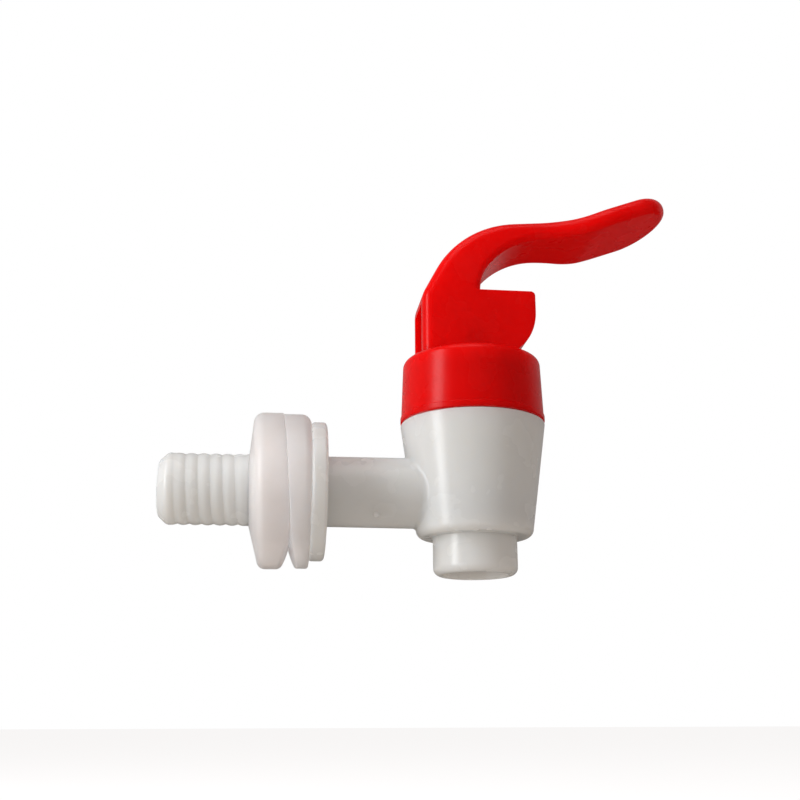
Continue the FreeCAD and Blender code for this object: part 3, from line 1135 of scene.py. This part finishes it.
@dataclass
class Valve:
    """The stem, its silicone seat cup and the return spring."""

    pad_radius: float = 6.6
    pad_thickness: float = 2.6
    wall: float = 0.9
    fold_height: float = 11.5
    bellows_radius: float = 7.9
    rim_thickness: float = 1.4
    hub_radius: float = 4.0
    hub_height: float = 4.2
    pocket_radius: float = 3.04
    wire_radius: float = 0.3
    wire_gap: float = 0.12
    turns: float = 5.0
    lift: float = 3.38
    rim_play: float = 0.03

    def build(
        self, stem_finish: bpy.types.Material, rubber: bpy.types.Material, steel: bpy.types.Material
    ) -> None:
        """Build and dress the seat cup and the spring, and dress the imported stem.

        Args:
            stem_finish: The stem's plastic.
            rubber: The seat cup's silicone.
            steel: The spring's wire.
        """
        coat(frame["nodes"]["valve_stem"], stem_finish)
        cup = self.make_seat_cup()
        dress(cup, rubber, Body.STEM, "seat_cup")
        self.crumple(cup)
        spring = self.make_spring(steel)
        dress(spring, steel, Body.STEM, "return_spring")
        self.crumple(spring)

    def crumple(self, piece: bpy.types.Object) -> None:
        """Give a piece its own copy of its mesh."""
        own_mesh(piece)

    def make_seat_cup(self) -> bpy.types.Object:
        """Return the seat cup: pad, hub, bellows wall and clamped rim."""
        low, high = node_box("seat_cup")
        high.z -= self.rim_play
        pad_top = low.z + self.pad_thickness
        fold_z = pad_top + self.fold_height
        rim_foot = high.z - self.rim_thickness
        rim_radius = high.y
        return turned("seat_cup_shell", rounded([
            Corner(0.0, low.z),
            Corner(self.pad_radius, low.z, 0.4),
            Corner(self.pad_radius, fold_z, 1.0),
            Corner(self.bellows_radius, rim_foot - self.wall, 0.6),
            Corner(self.bellows_radius, rim_foot),
            Corner(rim_radius, rim_foot, 0.2),
            Corner(rim_radius, high.z, 0.2),
            Corner(self.bellows_radius - self.wall, high.z, 0.2),
            Corner(self.bellows_radius - self.wall, rim_foot - self.wall, 0.6),
            Corner(self.pad_radius - self.wall, fold_z, 1.0),
            Corner(self.pad_radius - self.wall, pad_top, 0.3),
            Corner(self.hub_radius, pad_top, 0.3),
            Corner(self.hub_radius, pad_top + self.hub_height, 0.2),
            Corner(self.pocket_radius, pad_top + self.hub_height),
            Corner(self.pocket_radius, pad_top - 1.6),
            Corner(0.0, pad_top - 1.6),
        ]), Axis.TAP, COARSE_TURN)

    def make_spring(self, steel: bpy.types.Material) -> bpy.types.Object:
        """Return the return spring, wound from round wire."""
        seat_low, seat_high = node_box("seat_cup")
        foot = seat_low.z + self.pad_thickness + self.wire_gap + self.wire_radius
        top = seat_high.z - self.wire_gap - self.wire_radius
        name = "return_spring_coil"
        spring = bpy.data.objects.new(name, bpy.data.meshes.new(name))
        bpy.context.scene.collection.objects.link(spring)
        winding = GeometryTool(
            "spring_winding",
            {
                "Coil Radius": (self.hub_radius + self.pad_radius - self.wall) / 2,
                "Wire Radius": self.wire_radius,
                "Height": top - foot,
                "Pitch": (top - foot) / self.turns,
                "Axis X": TAP_AXIS_X,
                "Foot Z": foot,
            },
            wind_spring,
        )
        winding.run(spring, steel)
        shade_smooth(spring, WIRE_SHARP_ANGLE)
        return spring


# Studio


@dataclass(frozen=True)
class Softbox:
    """A rectangular area lamp that faces the tap.

    Attributes:
        name: The lamp's name.
        azimuth: Its direction from the tap, in degrees to the right of the camera.
        elevation: Its height above the horizon, in degrees.
        distance: How far away it is, in millimetres.
        width: Its width, in millimetres.
        height: Its height, in millimetres.
        power: Its power, in watts.
        colour: The colour of its light.
    """

    name: str
    azimuth: float
    elevation: float
    distance: float
    width: float
    height: float
    power: float
    colour: Colour = (1.0, 1.0, 1.0)

    def build(self, target: Vector) -> None:
        """Hang the lamp round a target that is given in metres."""
        a, e = math.radians(self.azimuth), math.radians(self.elevation)
        away = Vector((math.sin(a) * math.cos(e), -math.cos(a) * math.cos(e), math.sin(e)))
        lamp = bpy.data.lights.new(self.name, "AREA")
        lamp.shape = "RECTANGLE"
        lamp.size = self.width * MM
        lamp.size_y = self.height * MM
        lamp.energy = self.power
        lamp.color = self.colour
        holder = bpy.data.objects.new(self.name, lamp)
        holder.matrix_world = Matrix.Translation(target + away * self.distance * MM) @ (
            (-away).to_track_quat("-Z", "Y").to_matrix().to_4x4()
        )
        bpy.context.scene.collection.objects.link(holder)


@dataclass
class Studio:
    """The pale floor, white surround, soft lamps and camera."""

    floor_z: float = -60.0
    floor_size: float = 6000.0
    floor_glow: Colour = (0.76, 0.72, 0.67)
    floor_seen: Colour = (0.49, 0.50, 0.515)
    floor_mirrored: float = 0.06
    floor_lift: float = 0.74
    fibre_size: float = 2.0
    fibre_height: float = 0.05
    fibre_strength: float = 0.2
    room_strength: float = 0.40
    room_colour: Colour = (1.0, 0.90, 0.84)
    room_mirrored: float = 0.2
    backdrop_edge: float = 0.35
    backdrop_mirrored: float = 0.25
    camera_place: tuple[float, float, float] = (-6.7148, -185.2471, -37.0638)
    camera_yaw: float = 0.11915
    camera_pitch: float = 0.27978
    camera_roll: float = -0.003
    lens: float = 50.0
    lamps: tuple[Softbox, ...] = (
        Softbox("window", -66.0, 12.0, 340.0, 84.0, 320.0, power=0.77, colour=(0.97, 1.0, 1.02)),
        Softbox("overhead", -20.0, 65.0, 450.0, 320.0, 320.0, power=0.48),
    )

    def build(self) -> None:
        """Build the whole studio."""
        self.make_floor()
        self.make_surround()
        low, high = CAD_BOX
        for lamp in self.lamps:
            lamp.build((low + high) / 2)
        self.make_camera()

    def make_floor(self) -> None:
        """Lay the floor, which shows nearly white and keeps shadows."""
        shape = bmesh.new()
        bmesh.ops.create_grid(shape, x_segments=1, y_segments=1, size=self.floor_size / 2)
        bmesh.ops.translate(shape, vec=(0.0, 0.0, self.floor_z), verts=shape.verts)
        floor = mesh_object("floor", shape)
        floor.data.materials.append(self.make_paper())

    def make_paper(self) -> bpy.types.Material:
        """Return the floor's white paper."""
        material, graph = new_material("floor_paper")
        place = graph.add("ShaderNodeTexCoord").outputs["Object"]
        fibre = graph.noise(place, self.fibre_size, CLOUD_DETAIL)
        path = graph.add("ShaderNodeLightPath").outputs
        seen = path["Is Camera Ray"]
        colour = graph.mix(seen, (*self.floor_glow, 1.0), (*self.floor_seen, 1.0))
        shade = (self.floor_mirrored,) * 3 + (1.0,)
        dimmed = graph.mix(path["Is Glossy Ray"], colour, shade, "MULTIPLY")
        relief = graph.bump(fibre, self.fibre_height * MM, self.fibre_strength)
        paper = graph.add("ShaderNodeBsdfDiffuse", {"Color": dimmed, "Normal": relief})
        lift = graph.math("MULTIPLY", seen, self.floor_lift)
        glow = graph.add("ShaderNodeEmission", {"Strength": lift})
        both = graph.add("ShaderNodeAddShader", {0: paper.outputs[0], 1: glow.outputs[0]})
        graph.add("ShaderNodeOutputMaterial", {"Surface": both.outputs[0]})
        return material

    def make_surround(self) -> None:
        """Make the world: a plain room for light, and a white backdrop where it is seen."""
        world = bpy.data.worlds.new("studio")
        world.use_nodes = True
        world.node_tree.nodes.clear()
        bpy.context.scene.world = world
        graph = NodeGraph(world.node_tree)
        path = graph.add("ShaderNodeLightPath").outputs
        way = graph.add("ShaderNodeTexCoord").outputs["Generated"]
        backwards = graph.add("ShaderNodeSeparateXYZ", {"Vector": way}).outputs["Y"]
        behind = graph.fade(backwards, 0.0, self.backdrop_edge)
        behind = graph.math("MULTIPLY", behind, self.backdrop_mirrored)
        mirrored = graph.math("MULTIPLY", path["Is Glossy Ray"], behind)
        direct = graph.math("MAXIMUM", path["Is Camera Ray"], path["Is Transmission Ray"])
        seen = graph.math("MAXIMUM", direct, mirrored)
        dimmed = graph.math("MULTIPLY_ADD", path["Is Glossy Ray"], self.room_mirrored - 1, 1.0)
        strength = graph.math("MULTIPLY", dimmed, self.room_strength)
        inputs = {"Color": (*self.room_colour, 1.0), "Strength": strength}
        room = graph.add("ShaderNodeBackground", inputs).outputs[0]
        inputs = {"Color": (1.0, 1.0, 1.0, 1.0), "Strength": 1.0}
        backdrop = graph.add("ShaderNodeBackground", inputs).outputs[0]
        mixed = graph.add("ShaderNodeMixShader", {0: seen, 1: room, 2: backdrop})
        graph.add("ShaderNodeOutputWorld", {"Surface": mixed.outputs[0]})

    def make_camera(self) -> None:
        """Place the camera."""
        camera = bpy.data.cameras.new("camera")
        camera.lens = self.lens
        camera.sensor_width = 36.0
        camera.clip_start = 1.0 * MM
        camera.clip_end = 20.0
        holder = bpy.data.objects.new("camera", camera)
        aim = Euler((math.pi / 2 + self.camera_pitch, 0.0, -self.camera_yaw)).to_matrix().to_4x4()
        roll = Matrix.Rotation(self.camera_roll, 4, "Z")
        holder.matrix_world = Matrix.Translation(Vector(self.camera_place) * MM) @ aim @ roll
        bpy.context.scene.collection.objects.link(holder)
        bpy.context.scene.camera = holder


def main() -> None:
    """Build every piece and the studio."""
    logging.basicConfig(level=logging.INFO, format="%(name)s: %(message)s")
    white = WHITE_PLASTIC.make()
    red = RED_PLASTIC.make()
    silicone = SILICONE.make()
    TapBody().build(white)
    Collar().build(red)
    Lever().build(red)
    Washers().build(silicone)
    Valve().build(STEM_PLASTIC.make(), silicone, SPRING_STEEL.make())
    scene = bpy.context.scene
    scene.view_settings.view_transform = "Standard"
    Studio().build()


if __name__ == "__main__":
    main()
